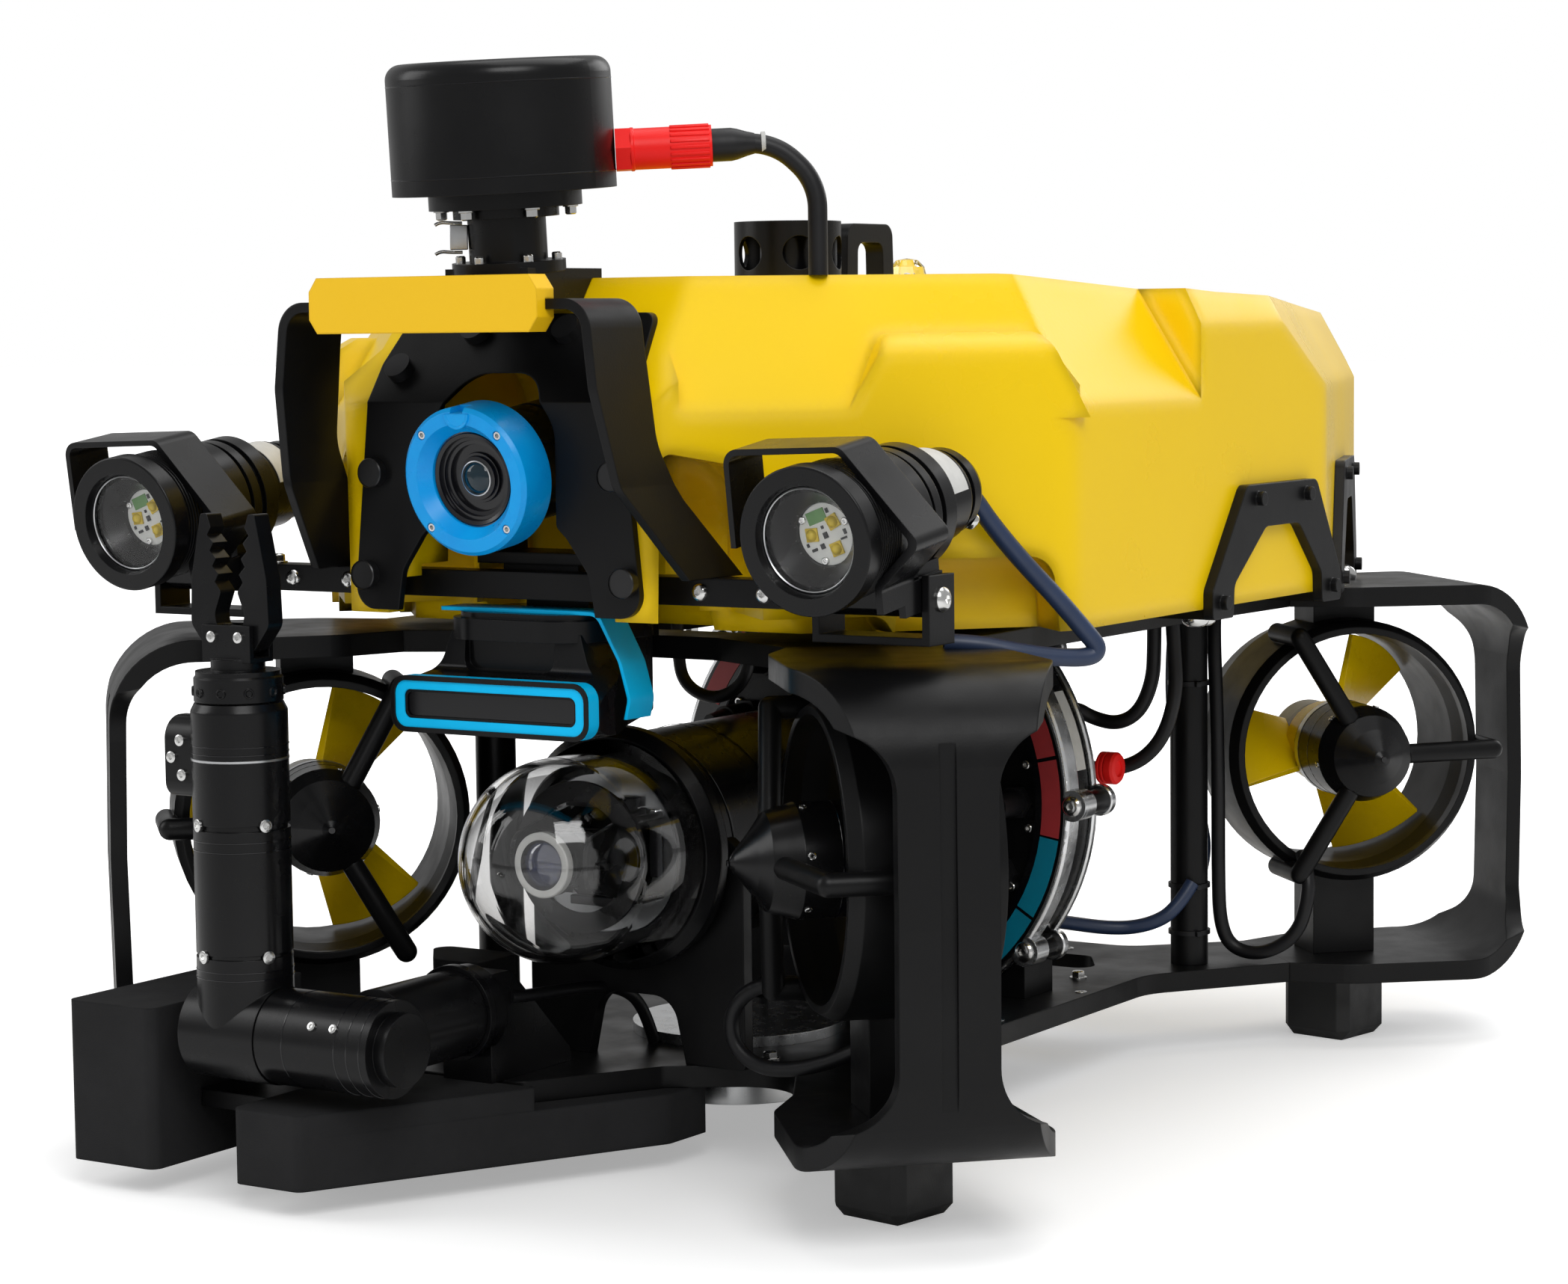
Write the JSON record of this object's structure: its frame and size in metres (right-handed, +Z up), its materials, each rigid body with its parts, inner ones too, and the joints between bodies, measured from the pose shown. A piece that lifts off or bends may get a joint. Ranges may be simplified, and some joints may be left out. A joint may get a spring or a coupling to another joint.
{
  "type": "underwater inspection rov",
  "caption": "Inspection ROV: yellow float on an open black frame, vectored ducted thrusters, domed pod, nose camera, sonars, lamps and a small gripper arm.",
  "frame": {"origin": "centre of the footprint, on the ground under the rubber feet", "axes": "+Z up, -Y towards the nose, +X to port"},
  "size_m": [0.5916, 0.821, 0.5882],
  "materials": {
    "float_shell": "satin",
    "black_composite": "satin",
    "black_anodised": "anodised",
    "bare_aluminium": "machined",
    "propeller_yellow": "gloss",
    "rubber": "matte",
    "blue_trim": "satin",
    "red_sleeve": "gloss",
    "connector_black": "satin",
    "clear": "clear",
    "board": "matte"
  },
  "bodies": {
    "vehicle": {"arm_base": "black_anodised", "base_plate": "black_composite", "beacon": "black_anodised", "camera_bracket": "black_composite", "connectors": "connector_black", "corner_guards": "black_composite", "dome": "clear", "dome_frame": "black_anodised", "drum_clamp": "bare_aluminium", "float_block": "float_shell", "float_brackets": "black_composite", "foam_blocks": "rubber", "foam_bracket": "black_composite", "frame_posts": "black_composite", "front_hoop": "black_composite", "hoop_bumper": "float_shell", "lamp_bar": "black_composite", "lift_tunnels": "black_composite", "lifting_handle": "black_composite", "mask_plate": "black_composite", "mask_studs": "black_anodised", "mast_cable": "rubber", "mast_connector": "red_sleeve", "mast_post": "black_anodised", "pod_barrel": "black_anodised", "pod_drum": "black_anodised", "pod_stands": "black_composite", "rubber_feet": "rubber", "sonar_head": "black_anodised", "sonar_mount": "black_anodised", "strobe": "clear", "thruster_ducts": "black_composite", "thruster_motors": "black_anodised", "upper_frame": "black_composite", "velocity_log": "bare_aluminium"},
    "camera_tilting": {"camera_housing": "black_anodised", "camera_bezel": "blue_trim", "camera_lens": "clear"},
    "dome_eye": {"dome_camera": "black_anodised"},
    "imaging_sonar": {"sonar_body": "black_anodised", "sonar_face": "blue_trim", "sonar_band": "blue_trim"},
    "lamp_port_head": {"lamp_port": "black_anodised", "lamp_port_board": "board", "lamp_port_glass": "clear"},
    "lamp_starboard_head": {"lamp_starboard": "black_anodised", "lamp_starboard_board": "board", "lamp_starboard_glass": "clear"},
    "arm_shoulder": {"arm_swing": "black_anodised"},
    "forearm": {"arm_forearm": "black_anodised"},
    "wrist": {"arm_wrist": "black_anodised"},
    "inner_jaw": {"jaw_inner": "black_anodised"},
    "outer_jaw": {"jaw_outer": "black_anodised"},
    "propeller_front_port_body": {"propeller_front_port": "propeller_yellow"},
    "propeller_front_starboard_body": {"propeller_front_starboard": "propeller_yellow"},
    "propeller_rear_port_body": {"propeller_rear_port": "propeller_yellow"},
    "propeller_rear_starboard_body": {"propeller_rear_starboard": "propeller_yellow"},
    "propeller_lift_port_body": {"propeller_lift_port": "propeller_yellow"},
    "propeller_lift_starboard_body": {"propeller_lift_starboard": "propeller_yellow"}
  },
  "joints": [
    {"name": "front_port_spin", "type": "hinge", "parent": "vehicle", "child": "propeller_front_port_body", "pos_m": [0.186, -0.2455, 0.183], "axis": [-0.7071, -0.7071, 0], "continuous": true},
    {"name": "front_starboard_spin", "type": "hinge", "parent": "vehicle", "child": "propeller_front_starboard_body", "pos_m": [-0.186, -0.2455, 0.183], "axis": [0.7071, -0.7071, 0], "continuous": true},
    {"name": "rear_port_spin", "type": "hinge", "parent": "vehicle", "child": "propeller_rear_port_body", "pos_m": [0.186, 0.2965, 0.183], "axis": [0.7071, -0.7071, 0], "continuous": true},
    {"name": "rear_starboard_spin", "type": "hinge", "parent": "vehicle", "child": "propeller_rear_starboard_body", "pos_m": [-0.186, 0.2965, 0.183], "axis": [-0.7071, -0.7071, 0], "continuous": true},
    {"name": "lift_port_spin", "type": "hinge", "parent": "vehicle", "child": "propeller_lift_port_body", "pos_m": [0.12, -0.0345, 0.38], "axis": [0, 0, 1], "continuous": true},
    {"name": "lift_starboard_spin", "type": "hinge", "parent": "vehicle", "child": "propeller_lift_starboard_body", "pos_m": [-0.12, -0.0345, 0.38], "axis": [0, 0, 1], "continuous": true},
    {"name": "camera_tilt", "type": "hinge", "parent": "vehicle", "child": "camera_tilting", "pos_m": [0, -0.2745, 0.3835], "axis": [1, 0, 0], "range_deg": [-10, 10]},
    {"name": "dome_camera_tilt", "type": "hinge", "parent": "vehicle", "child": "dome_eye", "pos_m": [0, -0.2705, 0.171], "axis": [1, 0, 0], "range_deg": [-60, 60]},
    {"name": "sonar_pan", "type": "hinge", "parent": "vehicle", "child": "imaging_sonar", "pos_m": [0, -0.2585, 0.304], "axis": [0, 0, 1], "range_deg": [-12, 12]},
    {"name": "lamp_port_tilt", "type": "hinge", "parent": "vehicle", "child": "lamp_port_head", "pos_m": [0.213, -0.2955, 0.3179], "axis": [1, 0, 0], "range_deg": [-12, 15]},
    {"name": "lamp_starboard_tilt", "type": "hinge", "parent": "vehicle", "child": "lamp_starboard_head", "pos_m": [-0.213, -0.2955, 0.3179], "axis": [1, 0, 0], "range_deg": [-12, 15]},
    {"name": "arm_base_swing", "type": "hinge", "parent": "vehicle", "child": "arm_shoulder", "pos_m": [-0.045, -0.3145, 0.092], "axis": [0, 1, 0], "range_deg": [0, 75]},
    {"name": "arm_elbow", "type": "hinge", "parent": "arm_shoulder", "child": "forearm", "pos_m": [-0.122, -0.3825, 0.088], "axis": [1, 0, 0], "range_deg": [0, 90]},
    {"name": "wrist_turn", "type": "hinge", "parent": "forearm", "child": "wrist", "pos_m": [-0.122, -0.3825, 0.27], "axis": [0, 0, 1], "continuous": true},
    {"name": "inner_jaw_open", "type": "hinge", "parent": "wrist", "child": "inner_jaw", "pos_m": [-0.113, -0.3825, 0.294], "axis": [0, 1, 0], "range_deg": [0, 38]},
    {"name": "outer_jaw_open", "type": "hinge", "parent": "wrist", "child": "outer_jaw", "pos_m": [-0.131, -0.3825, 0.294], "axis": [0, 1, 0], "range_deg": [-38, 0]}
  ],
  "couplings": [
    {"joint": "outer_jaw_open", "follows": "inner_jaw_open", "ratio": -1}
  ]
}
